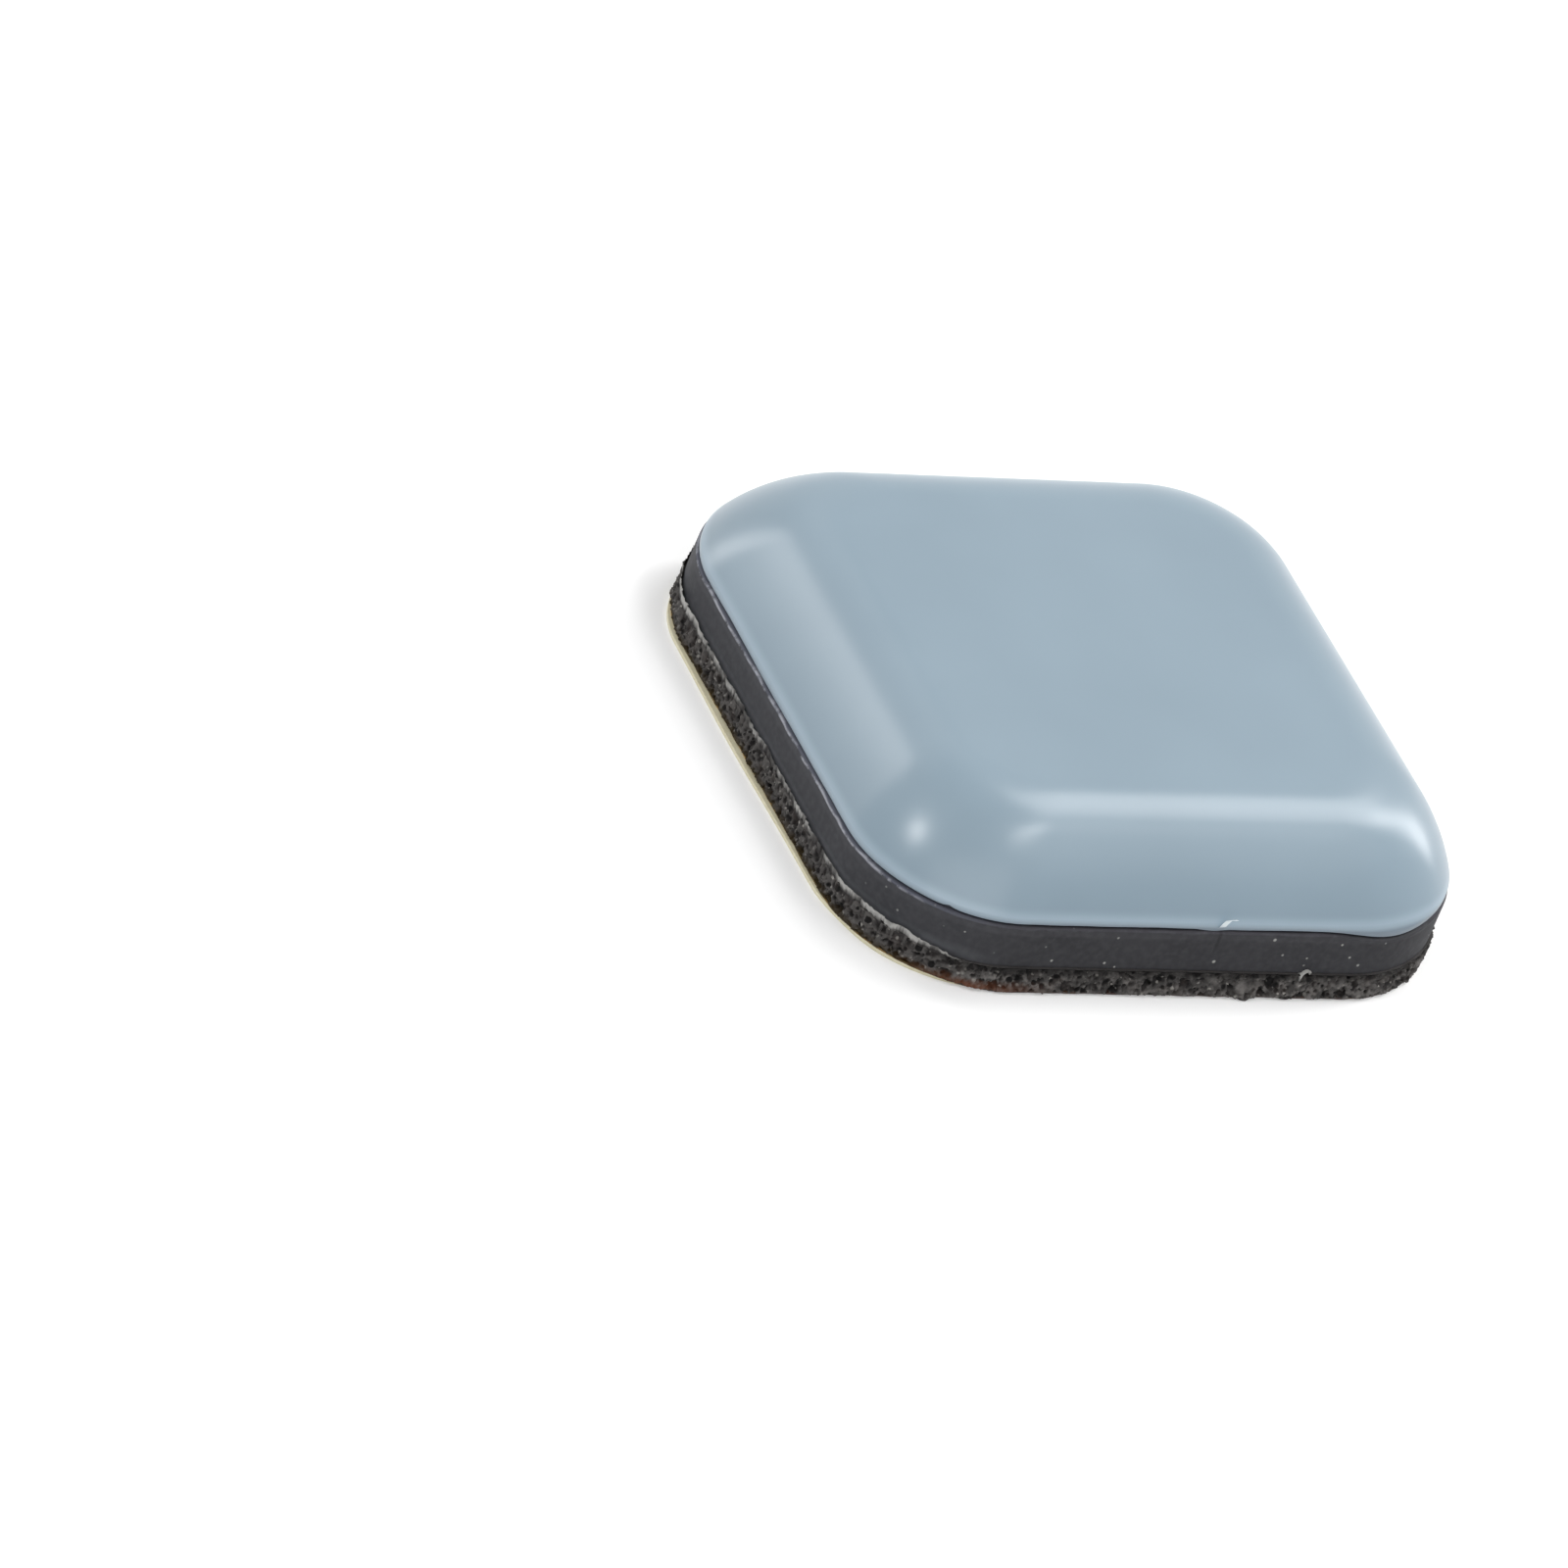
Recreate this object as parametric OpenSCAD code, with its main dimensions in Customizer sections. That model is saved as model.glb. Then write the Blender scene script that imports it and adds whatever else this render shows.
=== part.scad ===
// Self-adhesive furniture slider: a domed low-friction cap bonded to a rubber core,
// stuck to a foam mounting tape whose lower coat is covered by a peel-off liner.
// Sizes are in millimetres. The slider lies with its sliding face up.
// The origin is on the liner's underside, below the middle of the pad.

/* [Outline] */
// Side of the square, at the rim of the cap
pad_side = 20; // [14:0.5:40]
// Corner radius, at the rim of the cap
corner_r = 4.3; // [3.8:0.1:6.5]

/* [Glide cap] */
// Height of the sliding face above the rim
cap_rise = 2.78; // [2.2:0.02:3.4]
// Wall of the moulded cap
cap_wall = 1; // [0.7:0.05:1.6]
// Upright edge at the rim
cap_lip = 0.1; // [0.04:0.02:0.3]
// Radius from the upright edge into the flank
shoulder_r = 0.2; // [0.1:0.05:0.5]
// Slope of the flank at its foot, in degrees from level
flank_foot_slope = 65; // [58:1:72]
// Slope of the flank at its head, in degrees from level
flank_head_slope = 40; // [34:1:48]
// Radius from the flank into the sliding face
crown_r = 2.85; // [2.2:0.05:3.4]

/* [Bond film] */
// Thickness of the bond between cap and core
bond_t = 0.08; // [0.04:0.01:0.2]

/* [Rubber core] */
// Height of the rubber that shows below the rim
band_h = 1.52; // [0.8:0.02:3]
// How far the rubber stands proud of the rim
band_over = 0.06; // [0:0.01:0.2]
// Height of the shadow groove under the rim
groove_h = 0.08; // [0.04:0.01:0.2]
// Depth of the shadow groove, inwards from the rim
groove_depth = 0.14; // [0.04:0.01:0.3]
// Radius on the ledge below the groove
ledge_r = 0.1; // [0.02:0.01:0.15]

/* [Foam tape] */
// Thickness of the foam
foam_t = 0.72; // [0.5:0.02:2]
// How far the foam stands proud of the rim
foam_over = 0.14; // [0:0.01:0.3]
// Thickness of the adhesive coat between foam and rubber
upper_glue_t = 0.06; // [0.03:0.01:0.15]
// How far the upper coat stays back from the edge of the foam
upper_glue_inset = 0.06; // [0:0.01:0.3]
// Thickness of the adhesive coat under the foam
lower_glue_t = 0.06; // [0.03:0.01:0.15]

/* [Release liner] */
// Thickness of the liner paper
liner_t = 0.12; // [0.06:0.01:0.25]
// How far the liner stands proud of the rim
liner_over = 0.06; // [0:0.01:0.6]
// Cutting offset of the liner to the left
liner_shift_left = 0.16; // [0:0.01:0.3]
// Cutting offset of the liner to the back
liner_shift_back = 0.1; // [0:0.01:0.3]
// Turn of the liner against the pad, in degrees
liner_skew = 0.2; // [0:0.1:1.5]

/* [Hidden] */
$fn = 96;

// Middle of the pad to the centre of a corner
corner_at = pad_side / 2 - corner_r;

// Heights of the layers, from the liner's underside
lower_glue_z = liner_t;
foam_z = lower_glue_z + lower_glue_t;
upper_glue_z = foam_z + foam_t;
band_z = upper_glue_z + upper_glue_t;
rim_z = band_z + band_h;

// The cap's outline runs up from the rim as three arcs that meet smoothly.
// Each arc is given by its centre and radius, with x outwards from a corner's
// centre and y up from the rim. The flank's radius closes the cap's height.
shoulder_centre = [corner_r - shoulder_r, cap_lip];
flank_foot = shoulder_centre + shoulder_r * facing(flank_foot_slope);
flank_rise = cap_rise - flank_foot.y - crown_r * (1 - cos(flank_head_slope));
flank_r = flank_rise / (cos(flank_head_slope) - cos(flank_foot_slope));
flank_centre = flank_foot - flank_r * facing(flank_foot_slope);
flank_head = flank_centre + flank_r * facing(flank_head_slope);
crown_centre = flank_head - crown_r * facing(flank_head_slope);

// Depths below the cap's surface at which the bond film starts and ends
film_top = cap_wall;
film_bottom = cap_wall + bond_t;

// Outward direction of a surface at a given slope
function facing(slope) = [sin(slope), cos(slope)];

// Slope at which the flank, moved inwards by depth, meets the level of the rim
function foot_slope(depth) = acos(-flank_centre.y / (flank_r - depth));

// Slice of a disc between two slopes
module disc_slice(centre, radius, slope_a, slope_b) {
    reach = 2 * radius;
    intersection() {
        translate(centre) circle(r = radius);
        polygon([centre, centre + reach * facing(slope_a), centre + reach * facing(slope_b)]);
    }
}

// Half section of the space under the cap's outer surface
module outer_section() {
    intersection() {
        square([corner_r, cap_rise]);
        union() {
            polygon([[0, 0], [corner_r, 0], [corner_r, cap_lip], flank_foot, flank_head,
                     [crown_centre.x, cap_rise], [0, cap_rise]]);
            disc_slice(shoulder_centre, shoulder_r, flank_foot_slope, 90);
            disc_slice(flank_centre, flank_r, flank_head_slope, flank_foot_slope);
            disc_slice(crown_centre, crown_r, 0, flank_head_slope);
        }
    }
}

// Half section of the space that lies a given depth under that surface
module inner_section(depth) {
    foot = flank_centre + (flank_r - depth) * facing(foot_slope(depth));
    head = flank_centre + (flank_r - depth) * facing(flank_head_slope);
    roof = cap_rise - depth;
    intersection() {
        square([corner_r, roof]);
        union() {
            polygon([[0, 0], foot, head, [crown_centre.x, roof], [0, roof]]);
            disc_slice(flank_centre, flank_r - depth, flank_head_slope, foot_slope(depth));
            disc_slice(crown_centre, crown_r - depth, 0, flank_head_slope);
        }
    }
}

// Half section of the rubber below the rim, with its groove and rounded ledge
module band_section() {
    wall = corner_r + band_over;
    ledge_z = -groove_h;
    translate([0, -band_h]) square([wall, band_h - groove_h - ledge_r]);
    translate([0, ledge_z - ledge_r]) square([wall - ledge_r, ledge_r]);
    translate([wall - ledge_r, ledge_z - ledge_r])
        intersection() {
            circle(r = ledge_r);
            square(ledge_r);
        }
    translate([0, ledge_z]) square([corner_r - groove_depth, groove_h]);
}

// A half section carried round the rounded square, and the block that fills its middle
module round_the_pad(middle_z, middle_h) {
    for (turn = [0:90:270])
        rotate(turn) {
            translate([corner_at, corner_at, 0]) rotate_extrude(angle = 90) children();
            translate([corner_at, corner_at, 0]) rotate([90, 0, 0])
                linear_extrude(2 * corner_at) children();
        }
    translate([-corner_at, -corner_at, middle_z])
        cube([2 * corner_at, 2 * corner_at, middle_h]);
}

// A flat layer of the tape, with its edge this far outside the rim
module layer(over, thickness) {
    round_the_pad(0, thickness) square([corner_r + over, thickness]);
}

module glide_cap() {
    color([0.61, 0.69, 0.74])
        translate([0, 0, rim_z])
            round_the_pad(cap_rise - film_top, film_top)
                difference() {
                    outer_section();
                    inner_section(film_top);
                }
}

module cap_bond_film() {
    color([0.78, 0.7, 0.45])
        translate([0, 0, rim_z])
            round_the_pad(cap_rise - film_bottom, bond_t)
                difference() {
                    inner_section(film_top);
                    inner_section(film_bottom);
                }
}

module rubber_core() {
    color([0.24, 0.24, 0.25])
        translate([0, 0, rim_z])
            round_the_pad(-band_h, band_h + cap_rise - film_bottom)
                union() {
                    inner_section(film_bottom);
                    band_section();
                }
}

module upper_adhesive() {
    color([0.55, 0.42, 0.2])
        translate([0, 0, upper_glue_z]) layer(foam_over - upper_glue_inset, upper_glue_t);
}

module foam_pad() {
    color([0.2, 0.2, 0.2])
        translate([0, 0, foam_z]) layer(foam_over, foam_t);
}

module lower_adhesive() {
    color([0.55, 0.42, 0.2])
        translate([0, 0, lower_glue_z]) layer(foam_over, lower_glue_t);
}

module release_liner() {
    color([0.93, 0.9, 0.73])
        translate([-liner_shift_left, liner_shift_back, 0]) rotate(liner_skew) layer(liner_over, liner_t);
}

glide_cap();
cap_bond_film();
rubber_core();
upper_adhesive();
foam_pad();
lower_adhesive();
release_liner();
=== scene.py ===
import math

import bmesh
import bpy
from mathutils import Color, Matrix, Vector


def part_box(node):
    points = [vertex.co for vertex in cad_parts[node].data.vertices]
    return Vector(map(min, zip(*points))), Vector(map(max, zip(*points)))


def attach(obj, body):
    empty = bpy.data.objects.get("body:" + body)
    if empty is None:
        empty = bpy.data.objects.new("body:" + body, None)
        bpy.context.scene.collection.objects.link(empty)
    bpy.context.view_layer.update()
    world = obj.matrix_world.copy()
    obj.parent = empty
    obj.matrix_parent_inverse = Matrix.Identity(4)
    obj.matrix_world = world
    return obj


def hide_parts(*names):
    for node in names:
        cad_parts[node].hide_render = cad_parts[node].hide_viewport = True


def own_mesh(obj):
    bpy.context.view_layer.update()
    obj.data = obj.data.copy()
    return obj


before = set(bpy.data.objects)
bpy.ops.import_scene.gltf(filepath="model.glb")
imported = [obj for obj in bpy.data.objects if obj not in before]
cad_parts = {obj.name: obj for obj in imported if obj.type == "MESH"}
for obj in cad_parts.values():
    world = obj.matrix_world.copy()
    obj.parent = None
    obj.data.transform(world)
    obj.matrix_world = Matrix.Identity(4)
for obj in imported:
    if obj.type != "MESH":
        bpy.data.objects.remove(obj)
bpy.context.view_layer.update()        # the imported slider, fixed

mm = 0.001               # every piece is modelled in millimetres, then brought to metres


# Places that the pieces share, in millimetres, from the frame

def nodeBox(node):
    low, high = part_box(node)
    return low / mm, high / mm


capLow, capHigh = nodeBox("glide_cap")
rubberLow, _ = nodeBox("rubber_core")
upperLow, upperHigh = nodeBox("upper_adhesive")
foamLow, foamHigh = nodeBox("foam_pad")
lowerLow, lowerHigh = nodeBox("lower_adhesive")
linerLow, linerHigh = nodeBox("release_liner")
rimHeight = capLow.z
capHalf = capHigh.x
capCorner = 4.3          # corner radius at the rim
print("frame loaded, rim at %.2f mm, top at %.2f mm" % (rimHeight, capHigh.z))


# Camera, at the photograph's viewing angle

cameraSet = {
    "azimuth": -34.95,       # degrees
    "elevation": 33.4,
    "roll": 22.65,
    "lens": 367.2,
    "sensor": 36,
    "clip": (0.01, 10),      # metres
    "distance": 475.95,      # millimetres from the aim point
    "aimRight": -7.786,      # aim point from the origin, along the picture's own axes
    "aimUp": -0.222,
}


def placeCamera(data):
    turn = math.radians(data["azimuth"])
    lift = math.radians(data["elevation"])
    roll = math.radians(data["roll"])
    back = Vector((math.sin(turn) * math.cos(lift), -math.cos(turn) * math.cos(lift), math.sin(lift)))
    levelRight = Vector((math.cos(turn), math.sin(turn), 0))
    levelUp = back.cross(levelRight)
    right = levelRight * math.cos(roll) + levelUp * math.sin(roll)
    up = levelUp * math.cos(roll) - levelRight * math.sin(roll)
    aim = right * data["aimRight"] + up * data["aimUp"]
    lens = bpy.data.cameras.new("camera")
    lens.lens = data["lens"]
    lens.sensor_width = data["sensor"]
    lens.clip_start, lens.clip_end = data["clip"]
    camera = bpy.data.objects.new("camera", lens)
    bpy.context.scene.collection.objects.link(camera)
    axes = Matrix((right, up, back)).transposed().to_4x4()
    camera.matrix_world = Matrix.Translation((aim + back * data["distance"]) * mm) @ axes
    bpy.context.scene.camera = camera


placeCamera(cameraSet)
print("camera placed")


# Modelling helpers

steep = 0.9              # this share of a direction counts as all of it
hair = 0.001             # millimetres, less than any step of a mesh


def startBlock(name, half, low, high, shift=(0, 0), skew=0):
    bpy.ops.object.select_all(action="DESELECT")
    middle = (shift[0], shift[1], (low + high) / 2)
    bpy.ops.mesh.primitive_cube_add(size=1, location=middle, rotation=(0, 0, math.radians(skew)),
                                    scale=(2 * half, 2 * half, high - low))
    bpy.ops.object.transform_apply(location=True, rotation=True, scale=True)
    piece = bpy.context.object
    piece.name = name
    piece.data.name = name
    return piece


def pick(piece, kind, wanted):       # leaves the piece in edit mode with only the wanted parts selected
    bpy.ops.object.mode_set(mode="EDIT")
    bpy.ops.mesh.select_mode(type=kind)
    bpy.ops.mesh.select_all(action="DESELECT")
    cage = bmesh.from_edit_mesh(piece.data)
    parts = {"VERT": cage.verts, "EDGE": cage.edges, "FACE": cage.faces}[kind]
    for part in parts:
        if wanted(part):
            part.select_set(True)
    bmesh.update_edit_mesh(piece.data)


def isUpright(edge):
    first, second = edge.verts
    return abs(first.co.z - second.co.z) > steep * edge.calc_length()


def isTop(face):
    return face.normal.z > steep


def isBottom(face):
    return face.normal.z < -steep


def beyondRim(place):                # millimetres outside the rim of the cap, negative inside
    straight = capHalf - capCorner
    return math.hypot(max(abs(place.x) - straight, 0), max(abs(place.y) - straight, 0)) - capCorner


def nearOutline(place, side, corner):    # beyond a half side, or this far from the middle at a corner
    return max(abs(place.x), abs(place.y)) > side or place.xy.length > corner


def roundOutline(piece, radius, cornerSteps, sideCuts):      # each number in sideCuts divides the sides again
    pick(piece, "EDGE", isUpright)
    bpy.ops.mesh.bevel(offset=radius, segments=cornerSteps, affect="EDGES")
    longest = radius * math.pi / cornerSteps
    for cuts in sideCuts:
        pick(piece, "EDGE", lambda edge: not isUpright(edge) and edge.calc_length() > longest)
        bpy.ops.mesh.subdivide(number_cuts=cuts)


def raiseTop(rise, steps=1):         # the selected top face goes up in equal steps
    for _ in range(steps):
        bpy.ops.mesh.extrude_region_move(TRANSFORM_OT_translate={"value": (0, 0, rise / steps)})


def followProfile(points, side=1, spread=0):     # the selected face shrinks and moves along a half section
    for (reach, height), (nextReach, nextHeight) in zip(points, points[1:]):
        step = reach - nextReach
        bpy.ops.mesh.inset(thickness=(1 - spread) * step, depth=side * (nextHeight - height))
        if spread:               # this share of the step is made by scaling, which keeps the corners round
            half = capHalf - capCorner + nextReach
            shrink = half / (half + spread * step)
            bpy.ops.transform.resize(value=(shrink, shrink, 1), center_override=(0, 0, 0))


def arc(centre, radius, slopeFrom, slopeTo, steps):      # slopes in degrees from level
    points = []
    for step in range(steps + 1):
        slope = math.radians(slopeFrom + (slopeTo - slopeFrom) * step / steps)
        points.append((centre[0] + radius * math.sin(slope), centre[1] + radius * math.cos(slope)))
    return points


def weigh(piece, name, weightOf):    # a vertex group whose weight comes from each vertex's place
    group = piece.vertex_groups.new(name=name)
    for vertex in piece.data.vertices:
        weight = weightOf(vertex.co)
        if weight > 0:
            group.add([vertex.index], min(weight, 1), "REPLACE")


def cloudTexture(name, size):
    texture = bpy.data.textures.new(name, type="CLOUDS")
    texture.noise_scale = size
    texture.noise_depth = 2
    return texture


def cellTexture(name, size, weights, strength):
    texture = bpy.data.textures.new(name, type="VORONOI")
    texture.noise_scale = size
    texture.noise_intensity = strength
    texture.weight_1, texture.weight_2 = weights
    return texture


def displace(piece, texture, strength, middle=0.5, group="", direction="NORMAL"):
    bump = piece.modifiers.new(texture.name, "DISPLACE")
    bump.texture = texture
    bump.texture_coords = "LOCAL"
    bump.strength = strength
    bump.mid_level = middle
    bump.vertex_group = group
    bump.direction = direction
    bpy.ops.object.modifier_apply(modifier=bump.name)


def pull(piece, data):               # drags the surface round a point, with a soft falloff
    bpy.ops.object.mode_set(mode="OBJECT")
    near = Vector(data["near"])
    nearest = min(piece.data.vertices, key=lambda vertex: (vertex.co - near).length).index
    pick(piece, "VERT", lambda vertex: vertex.index == nearest)
    bpy.ops.transform.translate(value=data["by"], use_proportional_edit=True,
                                proportional_size=data["reach"], proportional_edit_falloff="SMOOTH")
    bpy.ops.object.mode_set(mode="OBJECT")


def standUp(piece, edge, data):      # raises an edge on the left side, the more the further left it is
    steps = 8
    for step in range(steps):
        reach = data["from"] + (data["full"] - data["from"]) * step / steps
        pick(piece, "VERT", lambda vertex: vertex.co.x < reach and vertex.index in edge)
        bpy.ops.transform.translate(value=(0, 0, data["rise"] / steps))
    bpy.ops.object.mode_set(mode="OBJECT")


def droop(piece, data):              # the lowest part of the front edge sags, fading out at both corners
    steps = 8
    for step in range(1, steps + 1):
        share = step / steps
        top = lowerHigh.z + data["top"] * share
        left = data["left"][0] + (data["left"][1] - data["left"][0]) * share
        front = data["front"][0] + (data["front"][1] - data["front"][0]) * share
        pick(piece, "VERT", lambda vertex: beyondRim(vertex.co) > 0 and vertex.co.z < top
             and vertex.co.x > left and vertex.co.y < front)
        bpy.ops.transform.translate(value=[part / steps for part in data["by"]])
    bpy.ops.object.mode_set(mode="OBJECT")


def markDepth(piece, name, places, normals, full):       # how far each vertex went in from where it was
    marks = piece.data.attributes.new(name, "FLOAT", "POINT")
    for vertex, place, normal in zip(piece.data.vertices, places, normals):
        marks.data[vertex.index].value = (place - vertex.co).dot(normal) / full


def toMetres(piece, smoothAngle):    # the finished piece at its real size, with its place in its mesh
    bpy.ops.object.mode_set(mode="OBJECT")
    bpy.ops.transform.resize(value=(mm, mm, mm), center_override=(0, 0, 0))
    bpy.ops.object.transform_apply(location=True, rotation=True, scale=True)
    bpy.ops.object.shade_smooth_by_angle(angle=math.radians(smoothAngle))


# Material helpers

def paint(red, green, blue):         # a colour as it is seen, 0 to 255
    seen = Color((red / 255, green / 255, blue / 255)).from_srgb_to_scene_linear()
    return (seen.r, seen.g, seen.b, 1)


def feed(tree, socket, value):
    if isinstance(value, bpy.types.NodeSocket):
        tree.links.new(value, socket)
    else:
        socket.default_value = value


def startMaterial(name):             # gives the material, its nodes, its shader and the place in millimetres
    material = bpy.data.materials.new(name)
    material.use_nodes = True
    tree = material.node_tree
    shader = tree.nodes["Principled BSDF"]
    coords = tree.nodes.new("ShaderNodeTexCoord")
    place = tree.nodes.new("ShaderNodeVectorMath")
    place.operation = "SCALE"
    place.inputs["Scale"].default_value = 1 / mm
    tree.links.new(coords.outputs["Object"], place.inputs[0])
    return material, tree, shader, place.outputs[0]


def noiseField(tree, place, scale, detail, roughness=0.5):     # scale: patches in each millimetre
    node = tree.nodes.new("ShaderNodeTexNoise")
    feed(tree, node.inputs["Vector"], place)
    node.inputs["Scale"].default_value = scale
    node.inputs["Detail"].default_value = detail
    node.inputs["Roughness"].default_value = roughness
    return node.outputs["Fac"]


def cellNode(tree, place, scale):
    node = tree.nodes.new("ShaderNodeTexVoronoi")
    feed(tree, node.inputs["Vector"], place)
    node.inputs["Scale"].default_value = scale
    return node


def ramp(tree, value, stops):
    node = tree.nodes.new("ShaderNodeValToRGB")
    feed(tree, node.inputs["Fac"], value)
    marks = node.color_ramp.elements
    while len(marks) < len(stops):
        marks.new(0.5)
    for mark, (position, colour) in zip(marks, stops):
        mark.position = position
        mark.color = colour
    return node.outputs["Color"]


def level(tree, value, low, high, lowResult=0.0, highResult=1.0):
    node = tree.nodes.new("ShaderNodeMapRange")
    feed(tree, node.inputs["Value"], value)
    node.inputs["From Min"].default_value = low
    node.inputs["From Max"].default_value = high
    node.inputs["To Min"].default_value = lowResult
    node.inputs["To Max"].default_value = highResult
    return node.outputs["Result"]


def sums(tree, operation, first, second):
    node = tree.nodes.new("ShaderNodeMath")
    node.operation = operation
    feed(tree, node.inputs[0], first)
    feed(tree, node.inputs[1], second)
    return node.outputs[0]


def blendColours(tree, amount, first, second):
    node = tree.nodes.new("ShaderNodeMix")
    node.data_type = "RGBA"
    feed(tree, node.inputs[0], amount)
    feed(tree, node.inputs[6], first)
    feed(tree, node.inputs[7], second)
    return node.outputs[2]


def alongAxis(tree, place, axis):    # millimetres along one axis of the frame
    node = tree.nodes.new("ShaderNodeSeparateXYZ")
    feed(tree, node.inputs[0], place)
    return node.outputs[axis]


def markedDepth(tree, name):
    node = tree.nodes.new("ShaderNodeAttribute")
    node.attribute_name = name
    return node.outputs["Fac"]


def strip(tree, value, middle, inner, outer):    # 1 near the middle value, fading out between two distances
    away = sums(tree, "ABSOLUTE", sums(tree, "SUBTRACT", value, middle), 0)
    return level(tree, away, outer, inner)


def roughen(tree, shader, height, strength, depth):
    node = tree.nodes.new("ShaderNodeBump")
    node.inputs["Strength"].default_value = strength
    node.inputs["Distance"].default_value = depth * mm
    feed(tree, node.inputs["Height"], height)
    feed(tree, shader.inputs["Normal"], node.outputs["Normal"])


def specks(tree, place, scale, radius, share):   # round dots in a share of a pattern's cells
    faintest = 0.2       # of a full dot's strength
    smallest = 0.4       # of a full dot's size
    solid = 0.4          # of a dot's radius, the rest fades
    cells = cellNode(tree, place, scale)
    chance = tree.nodes.new("ShaderNodeSeparateColor")
    tree.links.new(cells.outputs["Color"], chance.inputs[0])
    chosen = sums(tree, "LESS_THAN", chance.outputs[0], share)
    strength = sums(tree, "MULTIPLY", chosen, level(tree, chance.outputs[1], 0, 1, faintest, 1))
    size = level(tree, chance.outputs[2], 0, 1, smallest, 1)
    away = sums(tree, "DIVIDE", cells.outputs["Distance"], size)
    dot = level(tree, away, radius * scale, solid * radius * scale)
    return sums(tree, "MULTIPLY", dot, strength)


def dress(piece, material, body):
    piece.data.materials.clear()
    piece.data.materials.append(material)
    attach(piece, body)


# Glide cap: moulded low-friction shell with a flat sliding face, sloping flanks and an uneven rim

rimFlaws = {                 # drags on the rim; the dip takes the rubber below along
    "dip": {"near": (6.9, -9.8, rimHeight), "by": (0, 0, -0.2), "reach": 2.8},
    "sag": {"near": (0.5, -10, rimHeight), "by": (0, 0, -0.05), "reach": 0.7},
    "notch": {"near": (-8.05, -9.3, rimHeight), "by": (0.01, 0.02, 0.05), "reach": 0.25},
}

capSet = {
    "wall": 1.0,
    "lip": 0.1,              # upright edge at the rim
    "shoulderRadius": 0.2,
    "footSlope": 65,         # degrees from level
    "headSlope": 40,
    "crownRadius": 2.85,
    "cornerSpread": 0.7,     # share of the outline's steps that keeps the corners round
    "cornerSteps": 40,
    "sideCuts": [60],
    "shoulderSteps": 6,
    "flankSteps": 18,
    "crownSteps": 18,
    "plateauRings": [0.4, 0.6, 0.9],
    "rimWave": 0.07,         # height of the rim's waves
    "rimWaveLength": 2.4,
    "rimBand": 0.5,          # height over which the waves die out
    "rimInset": 0.6,         # how far in from the sides the waves reach
    "rimCorner": 1.0,        # at the corners they start this far beyond the half side
    "burrAt": 0.75,          # torn moulding flash on the front rim
    "burrSteps": [((0, -0.05, 0.08), 1.1), ((0.02, -0.04, 0.14), 1), ((0.06, -0.01, 0.12), 1),
                  ((0.16, 0, 0.03), 0.85), ((0.12, 0.01, -0.02), 0.6)],
    "smoothAngle": 40,
    "finish": {
        "clouds": (0.16, 2),         # noise: patches in each millimetre, detail
        "body": [(0.35, paint(131, 150, 163)), (0.65, paint(135, 154, 167))],
        "rimHighlightHeight": 0.5,           # painted highlight along the lip: a lighter band, darker at its very foot, from the rim up
        "edge": [(0, paint(114, 128, 140)), (0.2, paint(142, 159, 171)),
                 (0.42, paint(152, 170, 183)), (1, paint(135, 154, 167))],
        "rimHighlightFull": 0.6,
        "burrOut": (0.01, 0.05),     # the flash turns pale between these distances before the rim
        "burr": paint(222, 232, 236),
        "dust": (0.16, 0.07, 0.35),  # cells in each millimetre, radius, share of the cells
        "dustStrength": 0.6,
        "dustColour": paint(196, 204, 208),
        "roughness": 0.28,
        "ior": 1.5,
        "grain": (1.6, 2),
        "bump": (0.05, 0.004),       # strength, depth
    },
}


def capArcs(data, rise):     # centres of the arcs, outwards from a corner's centre and up from the rim
    def facing(slope):
        return Vector((math.sin(math.radians(slope)), math.cos(math.radians(slope))))
    shoulder = Vector((capCorner - data["shoulderRadius"], data["lip"]))
    foot = shoulder + data["shoulderRadius"] * facing(data["footSlope"])
    crownDrop = data["crownRadius"] * (1 - facing(data["headSlope"]).y)
    flankSpan = facing(data["headSlope"]).y - facing(data["footSlope"]).y
    flankRadius = (rise - foot.y - crownDrop) / flankSpan
    flank = foot - flankRadius * facing(data["footSlope"])
    crown = flank + (flankRadius - data["crownRadius"]) * facing(data["headSlope"])
    return shoulder, flank, flankRadius, crown


def outerOutline(data, arcs):
    shoulder, flank, flankRadius, crown = arcs
    points = arc(shoulder, data["shoulderRadius"], 90, data["footSlope"], data["shoulderSteps"])
    points += arc(flank, flankRadius, data["footSlope"], data["headSlope"], data["flankSteps"])[1:]
    points += arc(crown, data["crownRadius"], data["headSlope"], 0, data["crownSteps"])[1:]
    return points


def innerOutline(data, arcs, depth):         # the same outline below the surface, from the rim's level up
    _, flank, flankRadius, crown = arcs
    footSlope = math.degrees(math.acos(-flank.y / (flankRadius - depth)))
    points = arc(flank, flankRadius - depth, footSlope, data["headSlope"], data["flankSteps"])
    points += arc(crown, data["crownRadius"] - depth, data["headSlope"], 0, data["crownSteps"])[1:]
    return points


capOutline = capArcs(capSet, capHigh.z - rimHeight)


def growBurr(cap, data):     # a lip face on the front is drawn out into a small hook
    foot = Vector((data["burrAt"], -capHalf, rimHeight + data["lip"] / 2))
    front = [face for face in cap.data.polygons if face.normal.y < -steep]
    nearest = min(front, key=lambda face: (Vector(face.center) - foot).length).index
    pick(cap, "FACE", lambda face: face.index == nearest)
    for move, shrink in data["burrSteps"]:
        bpy.ops.mesh.extrude_region_move(TRANSFORM_OT_translate={"value": move})
        foot += Vector(move)
        bpy.ops.transform.resize(value=(shrink, shrink, shrink), center_override=foot)
    bpy.ops.object.mode_set(mode="OBJECT")


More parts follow.
